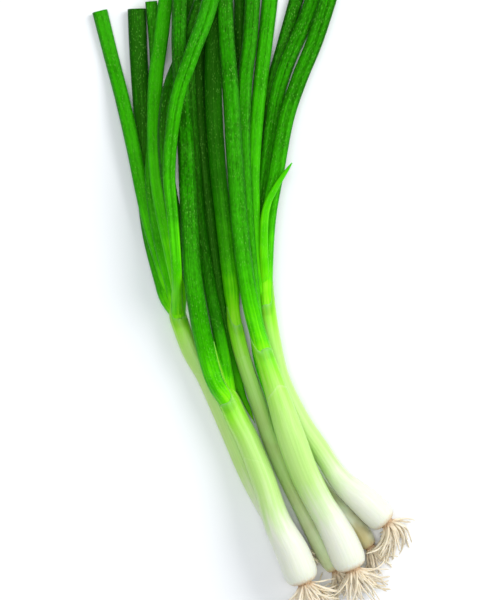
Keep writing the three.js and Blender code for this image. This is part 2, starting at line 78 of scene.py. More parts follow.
# %% Routes of the six onions
ONIONS = {
    "a": dict(
        stalk=[(27, -140), (21, -125), (13.5, -110), (7, -90), (-1, -70), (-6, -60), (-10.5, -50)],
        bulb=8.8, shank=6.1, neck=5.6, plate=3.9, bulb_length=42,
        leaves=dict(
            a1=dict(widths=(10, 7.6), fold=0.1, route=[(-17.3, -40), (-23, -20), (-28, 10), (-30, 40),
                                                        (-31.6, 70), (-33.5, 100), (-35, 125), (-35, 156)]),
            a2=dict(widths=(7, 6), fold=0, route=[(-13, -30), (-19.5, 3.5), (-25.3, 40), (-27.5, 67.5),
                                                      (-29.3, 95), (-30.5, 125), (-29.5, 152.5)]),
            a3=dict(widths=(7, 7.4), fold=0.15, route=[(-15.5, -37.5), (-25.5, -7.5), (-32.2, 22.5),
                                                         (-39.5, 52.5), (-42.3, 80), (-40, 104), (-32.5, 125),
                                                         (-24.5, 149)]),
        ),
    ),
    "b": dict(
        stalk=[(51, -133.5), (45.3, -120), (40, -110), (34, -100), (26.5, -85), (19.3, -65), (14.5, -50),
               (6.3, -25)],
        bulb=8.8, shank=7.3, neck=4.9, plate=4, bulb_length=30,
        leaves=dict(
            b1=dict(widths=(8.8, 8.4), fold=0.1, route=[(0, 0), (-4.4, 30), (-7.6, 70), (-9.3, 100),
                                                        (-11.7, 130), (-12.8, 157.5)]),
            b2=dict(widths=(5.4, 8.2), fold=0.1, route=[(3, -5), (-0.5, 30), (-2.5, 60), (-3.3, 85),
                                                      (-2.5, 110), (0, 130), (1.5, 155)]),
        ),
    ),
    "c": dict(
        stalk=[(68, -111), (57.5, -101), (45.3, -90), (35, -75), (25, -60), (15.5, -40), (11, -20),
               (8.5, -2.5)],
        bulb=8, shank=5, neck=4.2, plate=3.6, bulb_length=36,
        leaves=dict(
            c1=dict(widths=(5, 8.4), fold=0.1, route=[(4, 10), (3, 30), (1.8, 60), (3.3, 90), (5.9, 115),
                                                      (8.8, 140), (10.5, 157)]),
            c2=dict(widths=(4.8, 4.4), fold=0.1, pointed=True, route=[(7.5, 10), (6.8, 30), (8, 45),
                                                                      (12.3, 55), (20.8, 68)]),
            c3=dict(widths=(7, 8.8), fold=0.25, route=[(8, 15), (9.3, 40), (13.5, 65), (18, 90), (24.5, 110),
                                                       (32.5, 130), (40.5, 155)]),
        ),
    ),
    "d": dict(
        stalk=[(43, -135), (35, -121.5), (25, -102.5), (12.5, -76), (3.5, -50), (-4, -27.5), (-7.5, -12.5)],
        bulb=5.2, shank=4.2, neck=3.9, plate=2.8, bulb_length=30,
        leaves=dict(
            d1=dict(widths=(8, 9.4), fold=0.1, route=[(-9.3, 5), (-12.6, 35), (-16, 65), (-18.1, 95),
                                                      (-18.5, 120), (-17.5, 156)]),
        ),
    ),
    "e": dict(
        stalk=[(25, -126), (19, -118), (10.5, -107.5), (0, -89), (-12.5, -60), (-22, -39), (-30, -25),
               (-36, -9)],
        bulb=5.9, shank=4.8, neck=4.5, plate=3.1, bulb_length=30,
        leaves=dict(
            e1=dict(widths=(8, 7.4), fold=0.1, route=[(-35.4, 5), (-39.3, 25), (-44, 47.5), (-46.5, 65),
                                                      (-47.5, 85), (-47, 110), (-44.5, 130), (-41.5, 155)]),
            e2=dict(widths=(6.6, 7.8), fold=0.1, route=[(-42, 10), (-49.5, 35), (-54, 55), (-58, 75),
                                                        (-63.8, 100), (-70.5, 125), (-75.5, 145)]),
            e3=dict(widths=(7.4, 9.6), fold=0.1, route=[(-41.5, 0), (-44.5, 10), (-50.5, 35), (-53.5, 65),
                                                        (-54.3, 95), (-56, 125), (-56.8, 146)]),
            e4=dict(widths=(5.4, 6.2), fold=0.15, route=[(-40, 7.5), (-46, 32.5), (-49.5, 57.5), (-49, 80),
                                                         (-47.5, 110), (-47.7, 128), (-49.5, 149.5)]),
            e5=dict(widths=(4.6, 8.8), fold=0.25, route=[(-36.2, 15), (-38.1, 40), (-39.8, 60), (-38.8, 80),
                                                       (-35.5, 100), (-29, 120), (-22, 140), (-18, 156)]),
        ),
    ),
    "f": dict(
        stalk=[(60, -123.5), (53, -113.5), (45, -105), (37, -96), (29.5, -85), (21.5, -72), (15.8, -61)],
        bulb=5, shank=4.1, neck=3.8, plate=2.7, bulb_length=30, together=60,
        leaves=dict(
            f1=dict(widths=(5.4, 8.8), fold=0.25, route=[(8.9, -44), (3.8, -25), (2.8, 0), (4.2, 25),
                                                       (6.2, 50), (9.3, 75), (13, 100), (19, 120), (28, 140),
                                                       (33.5, 155)]),
            f2=dict(widths=(5, 7.4), fold=0.1, route=[(9.1, -44), (3.9, -25), (2.5, 0), (3.2, 30), (4.4, 60),
                                                      (7, 85), (10.5, 105), (17.5, 130), (24.5, 155)]),
            f3=dict(widths=(5, 6.4), fold=0, route=[(8.7, -44), (3.6, -25), (1.6, 0), (-0.5, 25), (-2.5, 60),
                                                    (-4, 100), (-5, 130), (-5, 155)]),
        ),
    ),
}
OUTER_LEAF = dict(widths=(5.6, 6.8), fold=0.1, base=1.4, route=[(-0.4, -55.5), (-6, -42.5), (-10.5, -27.5),
                                                               (-16.5, 10), (-20.8, 45), (-24, 75),
                                                               (-26, 105), (-24.5, 135), (-24.5, 152.5)])
STACK = ["d2", "stalk_e", "stalk_d", "stalk_f", "e3", "f3", "f2", "f1", "e2", "e4", "e1", "d1", "stalk_c",
         "c3", "c1", "c2", "stalk_a", "a2", "a3", "a1", "stalk_b", "b2", "b1", "e5"]
print("onions:", len(ONIONS), "leaves:", sum(len(onion["leaves"]) for onion in ONIONS.values()) + 1)

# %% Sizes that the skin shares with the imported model, in millimetres
TURN = math.radians(-12.4)
CLEAR = 0.7
FIT = 0.35
FLAT_SPOT = 0.35
STEP = 2.5
ROUTE_POINTS = 401
BULB_END = 8
BULB_BLUNTNESS = 2.3
NARROWS_FROM = 0.55
SHEATH_WALL = 0.7
HELD_SHARE = 0.95
NECK_FLATNESS = 0.95
LEAF_FLATNESS = 0.64
LEAF_OPENING = 14
SPREAD_STARTS = 3
LEAF_SPREAD = 18
STALK_EASE = 15
LEAF_EASE = 12.5
NEAR_NECK = 12
TOGETHER = 20
PARTING = 35
PASSES = 5
SMOOTHINGS = 4

# %% [markdown]
# ## Settling the pile
#
# Stalks and leaves lie on the surface and on each other. A cloth or rigid simulation would move them away
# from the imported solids, so the pile is settled by a rule instead, the same one that shaped the solids:
# each piece rises just enough to clear what lies under it, and eases into the rise as a stiff stem does.

# %% Helpers for blends between values
def smoothstep(x, low, high):
    t = np.clip((np.asarray(x, float) - low) / (high - low), 0, 1)
    return t * t * (3 - 2 * t)


def lerp(a, b, t):
    return a + (b - a) * t


# %% Sizes along a stalk and a leaf
def stalk_radius(onion, s, length):
    inward = 1 - np.clip(s, 0, BULB_END) / BULB_END
    end = lerp(onion["plate"], onion["bulb"], (1 - inward**BULB_BLUNTNESS) ** (1 / BULB_BLUNTNESS))
    body = lerp(onion["bulb"], onion["shank"], smoothstep(s, BULB_END, BULB_END + onion["bulb_length"]))
    narrowed = lerp(body, onion["neck"], smoothstep(s, length * NARROWS_FROM, length))
    return np.where(s < BULB_END, end, narrowed)


def leaf_half_width(leaf, s, length):
    full = lerp(leaf["widths"][0], leaf["widths"][1], s / length) / 2
    wide = lerp(leaf["base"], full, smoothstep(s, SPREAD_STARTS, LEAF_SPREAD))
    if not leaf.get("pointed"):
        return wide
    return wide * np.sqrt(np.maximum(1 - (s / length) ** 3, 0.02))


def leaf_flatness(s):
    return lerp(NECK_FLATNESS, LEAF_FLATNESS, smoothstep(s, SPREAD_STARTS, LEAF_SPREAD))


# %% Evenly spaced samples of a route
def cubic(a, b, leave, arrive, t):
    """From a to b with the given slopes, for t from 0 to 1."""
    bend = (2 * a - 2 * b + leave + arrive) * t**3 + (3 * b - 3 * a - 2 * leave - arrive) * t**2
    return bend + leave * t + a


def smooth_curve(route, shares):
    points = np.array(route, float)
    last = len(points) - 1
    place = shares * last
    i = np.minimum(place.astype(int), last - 1)
    t = (place - i)[:, None]
    before, a = points[np.maximum(i - 1, 0)], points[i]
    b, after = points[i + 1], points[np.minimum(i + 2, last)]
    return cubic(a, b, (b - before) / 2, (after - a) / 2, t)


def plan_samples(route, first=0):
    dense = smooth_curve(route, np.linspace(first / (len(route) - 1), 1, ROUTE_POINTS))
    travelled = np.concatenate([[0], np.cumsum(np.linalg.norm(np.diff(dense, axis=0), axis=1))])
    length = travelled[-1]
    s = np.linspace(0, length, round(length / STEP) + 1)
    return length, s, np.interp(s, travelled, dense[:, 0]), np.interp(s, travelled, dense[:, 1])


# %% Every stalk and leaf as a piece to settle
def new_piece(onion, route, ease, first=0, leaf=None):
    length, s, x, y = plan_samples(route, first)
    if leaf:
        w = leaf_half_width(leaf, s, length)
        h = w * leaf_flatness(s)
    else:
        w = stalk_radius(ONIONS[onion], s, length)
        h = w
    return dict(onion=onion, leaf=leaf, length=length, s=s, x=x, y=y, z=np.zeros_like(s), w=w, h=h, ease=ease)


pieces = {}
for letter, onion in ONIONS.items():
    pieces["stalk_" + letter] = new_piece(letter, onion["stalk"], STALK_EASE)
    for name, leaf in onion["leaves"].items():
        leaf["base"] = (onion["neck"] - SHEATH_WALL - FIT) * HELD_SHARE
        pieces[name] = new_piece(letter, onion["stalk"][-2:] + leaf["route"], LEAF_EASE, 1, leaf)
pieces["d2"] = new_piece("outer", OUTER_LEAF["route"], LEAF_EASE, 0, OUTER_LEAF)
print("pieces to settle:", len(pieces))


# %% The settling rule
def height_over(piece, lower, share):
    ax, ay, az = lower["x"][:-1], lower["y"][:-1], lower["z"][:-1]
    dx, dy, dz = np.diff(lower["x"]), np.diff(lower["y"]), np.diff(lower["z"])
    px, py = piece["x"][:, None], piece["y"][:, None]
    t = np.clip(((px - ax) * dx + (py - ay) * dy) / (dx**2 + dy**2), 0, 1)
    distance = np.hypot(px - ax - t * dx, py - ay - t * dy)
    wide = lerp(lower["w"][:-1], lower["w"][1:], t)
    high = lerp(lower["h"][:-1], lower["h"][1:], t)
    span = piece["w"][:, None] + wide + CLEAR
    rise = (piece["h"][:, None] + high + CLEAR) * np.sqrt(np.maximum(1 - (distance / span) ** 2, 0))
    return np.where((distance < span) & (share[:, None] > 0), az + t * dz + rise * share[:, None], 0).max(1)


def share_of_rise(piece, lower):
    if piece["onion"] != lower["onion"]:
        return np.ones_like(piece["s"])
    if not (piece["leaf"] and lower["leaf"]):
        return np.zeros_like(piece["s"])
    together = ONIONS[piece["onion"]].get("together", TOGETHER)
    return smoothstep(piece["s"], together, together + PARTING)


def eased(need, ease):
    reach = round(ease / STEP)

    def around(values, fold):
        return np.array([fold(values[max(i - reach, 0):i + reach + 1]) for i in range(len(values))])

    return around(around(need, np.max), np.mean)


neck_need = {}
for _ in range(PASSES):
    next_need = {}
    for rank, name in enumerate(STACK):
        piece = pieces[name]
        need = piece["h"] if piece["leaf"] else piece["h"] - FLAT_SPOT
        for lower in (pieces[under] for under in STACK[:rank]):
            need = np.maximum(need, height_over(piece, lower, share_of_rise(piece, lower)))
        if not piece["leaf"]:
            need = np.append(need[:-1], max(need[-1], neck_need.get(piece["onion"], 0)))
        piece["z"] = eased(need, piece["ease"])
        if piece["leaf"] and piece["onion"] != "outer":
            neck_height = pieces["stalk_" + piece["onion"]]["z"][-1]
            piece["z"] = lerp(neck_height, piece["z"], smoothstep(piece["s"], 0, LEAF_SPREAD))
            near = need[piece["s"] < NEAR_NECK].max()
            next_need[piece["onion"]] = max(next_need.get(piece["onion"], 0), near)
    neck_need = next_need
for piece in pieces.values():
    for _ in range(SMOOTHINGS):
        piece["z"][1:-1] = (piece["z"][:-2] + 2 * piece["z"][1:-1] + piece["z"][2:]) / 4
print("top of the pile, mm:", round(max((piece["z"] + piece["h"]).max() for piece in pieces.values()), 1))


# %% [markdown]
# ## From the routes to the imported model's place
#
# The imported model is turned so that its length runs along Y, and centred over its origin. The stalks' own
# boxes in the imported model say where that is, so nothing is fitted by hand.

# %% A smooth line through a piece's samples, with the two directions of its section
SIDEWAYS_UP = np.array([0, 0, 1.0])


def frames_along(piece, s):
    """Points, directions, sideways and up at distances s. Past its ends the line goes straight on."""
    samples = np.column_stack([piece["x"], piece["y"], piece["z"]])
    spacing = piece["s"][1] - piece["s"][0]
    slopes = np.gradient(samples, axis=0)
    inside = np.clip(s, 0, piece["s"][-1])
    place = inside / spacing
    i = np.minimum(place.astype(int), len(samples) - 2)
    t = (place - i)[:, None]
    a, b, leave, arrive = samples[i], samples[i + 1], slopes[i], slopes[i + 1]
    points = cubic(a, b, leave, arrive, t)
    along = lerp(leave, arrive, t)
    along = along / np.linalg.norm(along, axis=1, keepdims=True)
    points = points + along * (np.asarray(s) - inside)[:, None]
    across = np.cross(along, SIDEWAYS_UP)
    across = across / np.linalg.norm(across, axis=1, keepdims=True)
    return points, along, across, np.cross(across, along)


TURNED = np.array([[math.cos(TURN), -math.sin(TURN)], [math.sin(TURN), math.cos(TURN)]])


def turned(points):
    laid = np.array(points, float)
    laid[..., :2] = laid[..., :2] @ TURNED.T
    return laid


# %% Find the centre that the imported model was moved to
def stalk_outline_box(letter):
    piece = pieces["stalk_" + letter]
    points, _, across, _ = frames_along(piece, piece["s"])
    edge = across * piece["w"][:, None]
    both = turned(np.concatenate([points - edge, points + edge]))
    return (both.min(0) + both.max(0))[:2] / 2


def packed_centre(letter):
    low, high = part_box("stalk_" + letter)
    return np.array(((low + high) / 2)[:2]) * 1000


ORIGIN = np.mean([packed_centre(letter) - stalk_outline_box(letter) for letter in ONIONS], axis=0)
print("moved by, mm:", ORIGIN.round(2))

ABOVE_FLOOR = 0.05
TOP_OF_PILE = cad_box[1][2] * 1000


def placed(points):
    """Millimetres in the routes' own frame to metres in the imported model's."""
    moved = turned(points)
    moved[..., :2] += ORIGIN
    moved[..., 2] = np.clip(moved[..., 2], ABOVE_FLOOR, TOP_OF_PILE)
    return moved / 1000


# %% [markdown]
# ## One skin for stalks, leaves and roots
#
# Every piece here is a tube whose section changes along its route. Rings of points are laid along the route
# and joined by quads. Each point also keeps where it is on its own piece, as mesh attributes, so that the
# finishes can run veins lengthwise and change colour from neck to tip without any unwrapping.

# %% Tubes from rings of points
def rings_round(line, x, z):
    """Rings round a line, from the distances across it and up from it."""
    points, _, across, up = line
    return points[:, None] + across[:, None] * x[..., None] + up[:, None] * z[..., None]


def skin_places(x, z, far):
    """Where each point is on its own piece: across, up and along, in millimetres."""
    return np.stack([x, z, np.broadcast_to(far, x.shape)], axis=-1)


def ring_mesh(rings, skin, material=0, **kept):
    """rings: (count, sides, 3) in metres. skin and kept: what each point keeps for the finishes."""
    count, sides, _ = rings.shape
    index = np.arange(count * sides).reshape(count, sides)
    a, b = index[:-1], index[1:]
    quads = np.stack([a, b, np.roll(b, -1, 1), np.roll(a, -1, 1)], axis=-1).reshape(-1, 4)
    faces = quads.tolist() + [index[0].tolist(), index[-1][::-1].tolist()]
    tube = {key: np.broadcast_to(value, (count, sides)).ravel() for key, value in kept.items()}
    return tube | dict(points=rings.reshape(-1, 3), skin=skin.reshape(-1, 3), faces=faces,
                       materials=[material] * len(faces))


def joined(tubes):
    """Several tubes as one, for one object."""
    starts = np.cumsum([0] + [len(tube["points"]) for tube in tubes])
    faces = []
    for tube, start in zip(tubes, starts):
        faces += [[corner + start for corner in face] for face in tube["faces"]]
    materials = [number for tube in tubes for number in tube["materials"]]
    by_point = [key for key in tubes[0] if key not in ("faces", "materials")]
    values = {key: np.concatenate([tube[key] for tube in tubes]) for key in by_point}
    return values | dict(faces=faces, materials=materials)


def in_scene(name, data):
    made = bpy.data.objects.new(name, data)
    bpy.context.scene.collection.objects.link(made)
    return made


def dress(name, tube, materials, nodes):
    """Make the object, let it ride the part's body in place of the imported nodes, and count its faces."""
    mesh = bpy.data.meshes.new(name)
    mesh.from_pydata(tube["points"].tolist(), [], tube["faces"])
    mesh.attributes.new("skin", "FLOAT_VECTOR", "POINT").data.foreach_set("vector", tube["skin"].ravel())
    for key in sorted(set(tube) - {"points", "skin", "faces", "materials"}):
        mesh.attributes.new(key, "FLOAT", "POINT").data.foreach_set("value", tube[key])
    for material in materials:
        mesh.materials.append(material)
    mesh.polygons.foreach_set("material_index", tube["materials"])
    mesh.polygons.foreach_set("use_smooth", [True] * len(mesh.polygons))
    mesh.update()
    made = in_scene(name, mesh)
    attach(made, "root")
    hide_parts(nodes)
    print(name, "faces:", len(mesh.polygons))


# %% [markdown]
# ## Shared effects: veins, uneven growth and the greens
#
# Stalks and leaves are made of the same long parallel fibres, both vary softly from place to place, and one
# colour change runs through both, from pale shank over lime neck to green leaf. These effects are node
# groups, so that each finish can use them with its own values and the colours meet at the neck. The veins
# are noise that is stretched along the piece: fine across it, and long the other way.

# %% Small helpers for node trees
def srgb(code):
    """A colour written as on a paint chart, as the linear values that shaders use."""
    channels = [int(code[i:i + 2], 16) / 255 for i in (1, 3, 5)]
    return tuple(c / 12.92 if c <= 0.04045 else ((c + 0.055) / 1.055) ** 2.4 for c in channels) + (1.0,)


def node(tree, kind, inputs=None, **settings):
    made = tree.nodes.new(kind)
    for key, value in settings.items():
        setattr(made, key, value)
    for key, value in (inputs or {}).items():
        if isinstance(value, bpy.types.NodeSocket):
            tree.links.new(value, made.inputs[key])
        else:
            made.inputs[key].default_value = value
    return made


def maths(tree, operation, *values):
    return node(tree, "ShaderNodeMath", dict(enumerate(values)), operation=operation).outputs[0]


def times_plus(tree, value, factor, offset=0.0):
    return maths(tree, "MULTIPLY_ADD", value, factor, offset)


def stretched(tree, vector, factors):
    made = node(tree, "ShaderNodeVectorMath", {0: vector, 1: factors}, operation="MULTIPLY")
    return made.outputs[0]


def mixed(tree, share, first, second):
    return node(tree, "ShaderNodeMix", {0: share, 6: first, 7: second}, data_type="RGBA").outputs[2]


def between(tree, value, low, high, to_low=0.0, to_high=1.0):
    """A smooth change from to_low to to_high while the value goes from low to high."""
    inputs = {0: value, 1: low, 2: high, 3: to_low, 4: to_high}
    return node(tree, "ShaderNodeMapRange", inputs, interpolation_type="SMOOTHSTEP").outputs[0]


def colours(tree, value, stops):
    """Colours at places along a value, in its own units."""
    low, high = stops[0][0], stops[-1][0]
    share = times_plus(tree, value, 1 / (high - low), -low / (high - low))
    made = node(tree, "ShaderNodeValToRGB", {0: share})
    elements = made.color_ramp.elements
    while len(elements) < len(stops):
        elements.new(0.5)
    for element, (place, code) in zip(elements, stops):
        element.position = (place - low) / (high - low)
        element.color = srgb(code)
    return made.outputs[0]


def new_group(name, inputs, outputs):
    """inputs: (name, kind of socket, default value). outputs: (name, kind of socket)."""
    group = bpy.data.node_groups.new(name, "ShaderNodeTree")
    for label, kind, default in inputs:
        socket = group.interface.new_socket(label, in_out="INPUT", socket_type="NodeSocket" + kind)
        if default is not None:
            socket.default_value = default
    for label, kind in outputs:
        group.interface.new_socket(label, in_out="OUTPUT", socket_type="NodeSocket" + kind)
    return group, group.nodes.new("NodeGroupInput").outputs, group.nodes.new("NodeGroupOutput").inputs


def noise(tree, vector, detail, roughness=0.5):
    inputs = {"Vector": vector, "Scale": 1.0, "Detail": detail, "Roughness": roughness}
    return node(tree, "ShaderNodeTexNoise", inputs).outputs[0]


# %% Lengthwise veins: fine lines, and broader bands made of many of them
def veins_group():
    group, given, result = new_group(
        "lengthwise_veins",
        [("Skin", "Vector", None), ("Fineness", "Float", 2.0), ("Length", "Float", 0.012)],
        [("Lines", "Float"), ("Bands", "Float")])
    factors = {0: given["Fineness"], 1: given["Fineness"], 2: given["Length"]}
    fine = stretched(group, given["Skin"], node(group, "ShaderNodeCombineXYZ", factors).outputs[0])
    broad = stretched(group, fine, (0.3, 0.3, 0.6))
    group.links.new(between(group, noise(group, fine, 3.0, 0.6), 0.4, 0.64), result["Lines"])
    group.links.new(between(group, noise(group, broad, 1.0), 0.34, 0.66), result["Bands"])
    return group


# %% Uneven growth: broad patches, a fine grain and small pale dots
def growth_group():
    group, given, result = new_group(
        "uneven_growth", [("Skin", "Vector", None), ("Size", "Float", 0.08)],
        [("Patches", "Float"), ("Grain", "Float"), ("Dots", "Float")])
    wide = node(group, "ShaderNodeVectorMath", {0: given["Skin"], 3: given["Size"]}, operation="SCALE")
    close = stretched(group, given["Skin"], (1.0, 1.0, 0.5))
    cells = node(group, "ShaderNodeTexVoronoi", {"Vector": close, "Scale": 1.1})
    group.links.new(between(group, noise(group, wide.outputs[0], 2.0), 0.32, 0.68), result["Patches"])
    group.links.new(noise(group, close, 3.0), result["Grain"])
    group.links.new(between(group, cells.outputs["Distance"], 0.34, 0.12), result["Dots"])
    return group


# %% The greens, by distance from the neck in millimetres
BRIGHT_GREENS = [
    (-70, "#C3E48E"), (-32, "#BBE67E"), (-18, "#B0EA62"), (-10, "#9EEE36"), (-2, "#84EC12"),
    (8, "#64E206"), (18, "#48CC02"), (36, "#36B200"), (70, "#2CA200"), (160, "#269800"),
]
DEEP_GREENS = [
    (-70, "#AEDA78"), (-32, "#A2D95C"), (-18, "#94D83E"), (-10, "#80D61E"), (-2, "#68CE08"),
    (8, "#4CC002"), (18, "#34A400"), (36, "#208000"), (70, "#166400"), (160, "#105000"),
]


def greens_group():
    group, given, result = new_group(
        "greens_from_the_neck", [("From Neck", "Float", 0.0)], [("Bright", "Color"), ("Deep", "Color")])
    group.links.new(colours(group, given["From Neck"], BRIGHT_GREENS), result["Bright"])
    group.links.new(colours(group, given["From Neck"], DEEP_GREENS), result["Deep"])
    return group


VEINS, GROWTH, GREENS = veins_group(), growth_group(), greens_group()
print("shared effects:", [group.name for group in (VEINS, GROWTH, GREENS)])


# %% Start and close a finish
def shared(tree, group, **inputs):
    made = node(tree, "ShaderNodeGroup", node_tree=group)
    for key, value in inputs.items():
        socket = made.inputs[key.replace("_", " ")]
        if isinstance(value, bpy.types.NodeSocket):
            tree.links.new(value, socket)
        else:
            socket.default_value = value
    return made.outputs


def new_finish(name, fineness, length, size):
    material = bpy.data.materials.new(name)
    material.use_nodes = True
    tree = material.node_tree
    tree.nodes.clear()
    skin = node(tree, "ShaderNodeAttribute", attribute_name="skin").outputs["Vector"]
    return (material, tree, shared(tree, VEINS, Skin=skin, Fineness=fineness, Length=length),
            shared(tree, GROWTH, Skin=skin, Size=size))


def attribute(tree, name):
    return node(tree, "ShaderNodeAttribute", attribute_name=name).outputs["Fac"]


def close_finish(tree, colour, roughness, height, constants):
    """height: relief in millimetres. constants: set on the surface shader's own sockets."""
    bumped = node(tree, "ShaderNodeBump", {"Strength": 1.0, "Distance": 0.001, "Height": height})
    surface = node(tree, "ShaderNodeBsdfPrincipled", {"Base Color": colour, "Roughness": roughness,
                                                     "Normal": bumped.outputs[0], **constants})
    output = node(tree, "ShaderNodeOutputMaterial")
    tree.links.new(surface.outputs[0], output.inputs["Surface"])


# %% [markdown]
# ## The stalks
#
# A spring onion's bulb is hardly a bulb: it swells to one and a half times the shank, rounds in bluntly at
# the root plate, and is white. The white gives way to pale green in streaks, and the green turns lime at
# the neck. The shank is a roll of sheaths, so the edge of an older sheath crosses it as a slanting line,
# and the newest one ends in a thin tongue that hugs the leaf. The skin is moist, and light sinks into it a
# little. The bulbs that lie underneath get a tan tint, partly soil and partly painted shade. Each stalk has
# its own reach of green, white and this tint, so that one finish serves all six.

# %% The stalks' finish
def stalk_finish():
    material, tree, veins, growth = new_finish("stalk_skin", 1.5, 0.012, 0.07)
    streaks = times_plus(tree, veins["Bands"], 7.0, -3.5)
    from_neck = maths(tree, "ADD", attribute(tree, "from_neck"), streaks)
    from_root = times_plus(tree, growth["Patches"], -6.0, attribute(tree, "from_root"))
    from_root = maths(tree, "ADD", from_root, streaks)
    greens = shared(tree, GREENS, From_Neck=from_neck)
    fibres = times_plus(tree, veins["Lines"], 0.35, times_plus(tree, veins["Bands"], 0.25))
    colour = mixed(tree, fibres, greens["Bright"], greens["Deep"])
    white = mixed(tree, times_plus(tree, veins["Lines"], 0.25), srgb("#E5E7D8"), srgb("#D6DFBC"))
    whiteness = maths(tree, "MULTIPLY", between(tree, from_root, 50.0, 18.0), attribute(tree, "whiteness"))
    colour = mixed(tree, whiteness, colour, white)
    heel = between(tree, times_plus(tree, growth["Grain"], 3.0, attribute(tree, "from_root")), 4.5, 1.0)
    colour = mixed(tree, heel, colour, srgb("#D8BE9A"))
    edge = attribute(tree, "sheath_edge")
    depth = attribute(tree, "edge_depth")
    above = maths(tree, "MULTIPLY", between(tree, edge, -0.2, 0.2, 0.0, 0.2), depth)
    colour = mixed(tree, above, colour, greens["Deep"])
    lip = maths(tree, "MULTIPLY", between(tree, edge, -1.6, -0.1), between(tree, edge, 0.3, 0.0))
    lip = maths(tree, "MULTIPLY", lip, depth)
    lip = maths(tree, "MAXIMUM", lip, attribute(tree, "mouth"))
    colour = mixed(tree, times_plus(tree, lip, 0.2), colour, srgb("#DCEFC0"))
    # Tan tint on the bulbs lying underneath: partly soil, partly painted shade.
    soil_and_shade = maths(tree, "MULTIPLY", attribute(tree, "tone"), growth["Patches"])
    colour = mixed(tree, soil_and_shade, colour, srgb("#AC9A58"))
    roughness = times_plus(tree, growth["Grain"], 0.3, 0.18)
    relief = times_plus(tree, veins["Lines"], 0.03, times_plus(tree, between(tree, edge, 0.2, -0.2), 0.08))
    relief = times_plus(tree, growth["Grain"], 0.03, relief)
    close_finish(tree, colour, roughness, relief, {
        "Subsurface Weight": 0.3, "Subsurface Radius": (1.2, 1.0, 0.5), "Subsurface Scale": 0.003,
        "Specular IOR Level": 0.2, "Coat Weight": 0.05, "Coat Roughness": 0.2})
    return material


STALK_FINISH = stalk_finish()

# %% How a leaf's skin and its sheath fit each other at the neck
SKIN_SHARE = 0.98
SHEATH_LIP = 0.2
LIP_GAP = 0.05
LEADING = {"a": "a1", "b": "b1", "c": "c3", "d": "d1", "e": "e1", "f": "f1"}


def leaf_section(name, s):
    """Half-width and flatness of a leaf's skin. The leading leaf fills its sheath at the neck."""
    piece = pieces[name]
    wide = leaf_half_width(piece["leaf"], np.maximum(s, 0), piece["length"]) * SKIN_SHARE
    flat = leaf_flatness(s)
    if name in LEADING.values():
        leaving = smoothstep(s, 0, LEAF_SPREAD)
        filling = ONIONS[name[0]]["neck"] * SKIN_SHARE - SHEATH_LIP - LIP_GAP
        wide = lerp(filling, wide, leaving)
        flat = lerp(1, flat, leaving)
    return wide, flat


# %% Build each stalk, from the root end over the sheath mouth and down inside it
STALK_SIDES = 64
STALK_RING = 0.8
LAST_RING_GAP = 0.2
BULB_END_RINGS = 26
MOUTH_RINGS = 8
MOUTH_DEPTH = 5
TONGUE_WIDTH = 0.5  # in radians
TONGUE_RISE = 14
RIM_WAVE = 0.5
RIBS = 22
RIB_DEPTH = 0.008  # as a share of the radius, like the swelling
SWELLING = 0.014
SWELLING_LENGTH = 23
EVEN_NEAR_NECK = 16
EDGE_WAVE = 0.4
EDGE_REACH = 6
LIP_FADE = 1.2
SOIL_AND_SHADE_STARTS = 20  # the tan tint of soil and painted shade starts this far below the neck
SOIL_AND_SHADE_FULL = 60
APART = 40  # moves each stalk's streaks along, so that no two are alike
TONGUES = {  # how far the sheath runs up one side, and where: 0 is the right side, 90 the top
    "a": (32, 10), "b": (7, 160), "c": (12, 20), "d": (9, 150), "e": (10, 165), "f": (3, 90),
}
OLD_SHEATHS = {  # an older sheath's edge: how far below the neck, how slanted, where highest, and how deep
    "a": (36, 6, 150, 0.4), "b": (24, 5, 60, 1), "c": (30, 5, 30, 0.3), "d": (20, 4, 100, 0.3),
    "e": (34, 5, 140, 0.4), "f": (15, 3, 90, 0.3),
}
STALK_LOOKS = {  # how far its green runs down, how white its bulb is, and how much tan tint of soil and painted shade it gets
    "a": (0.7, 1, 0), "b": (1, 1, 0), "c": (0.7, 1, 0), "d": (0.9, 0.5, 0.25), "e": (0.5, 0.9, 0.05),
    "f": (1, 0.8, 0.8),
}


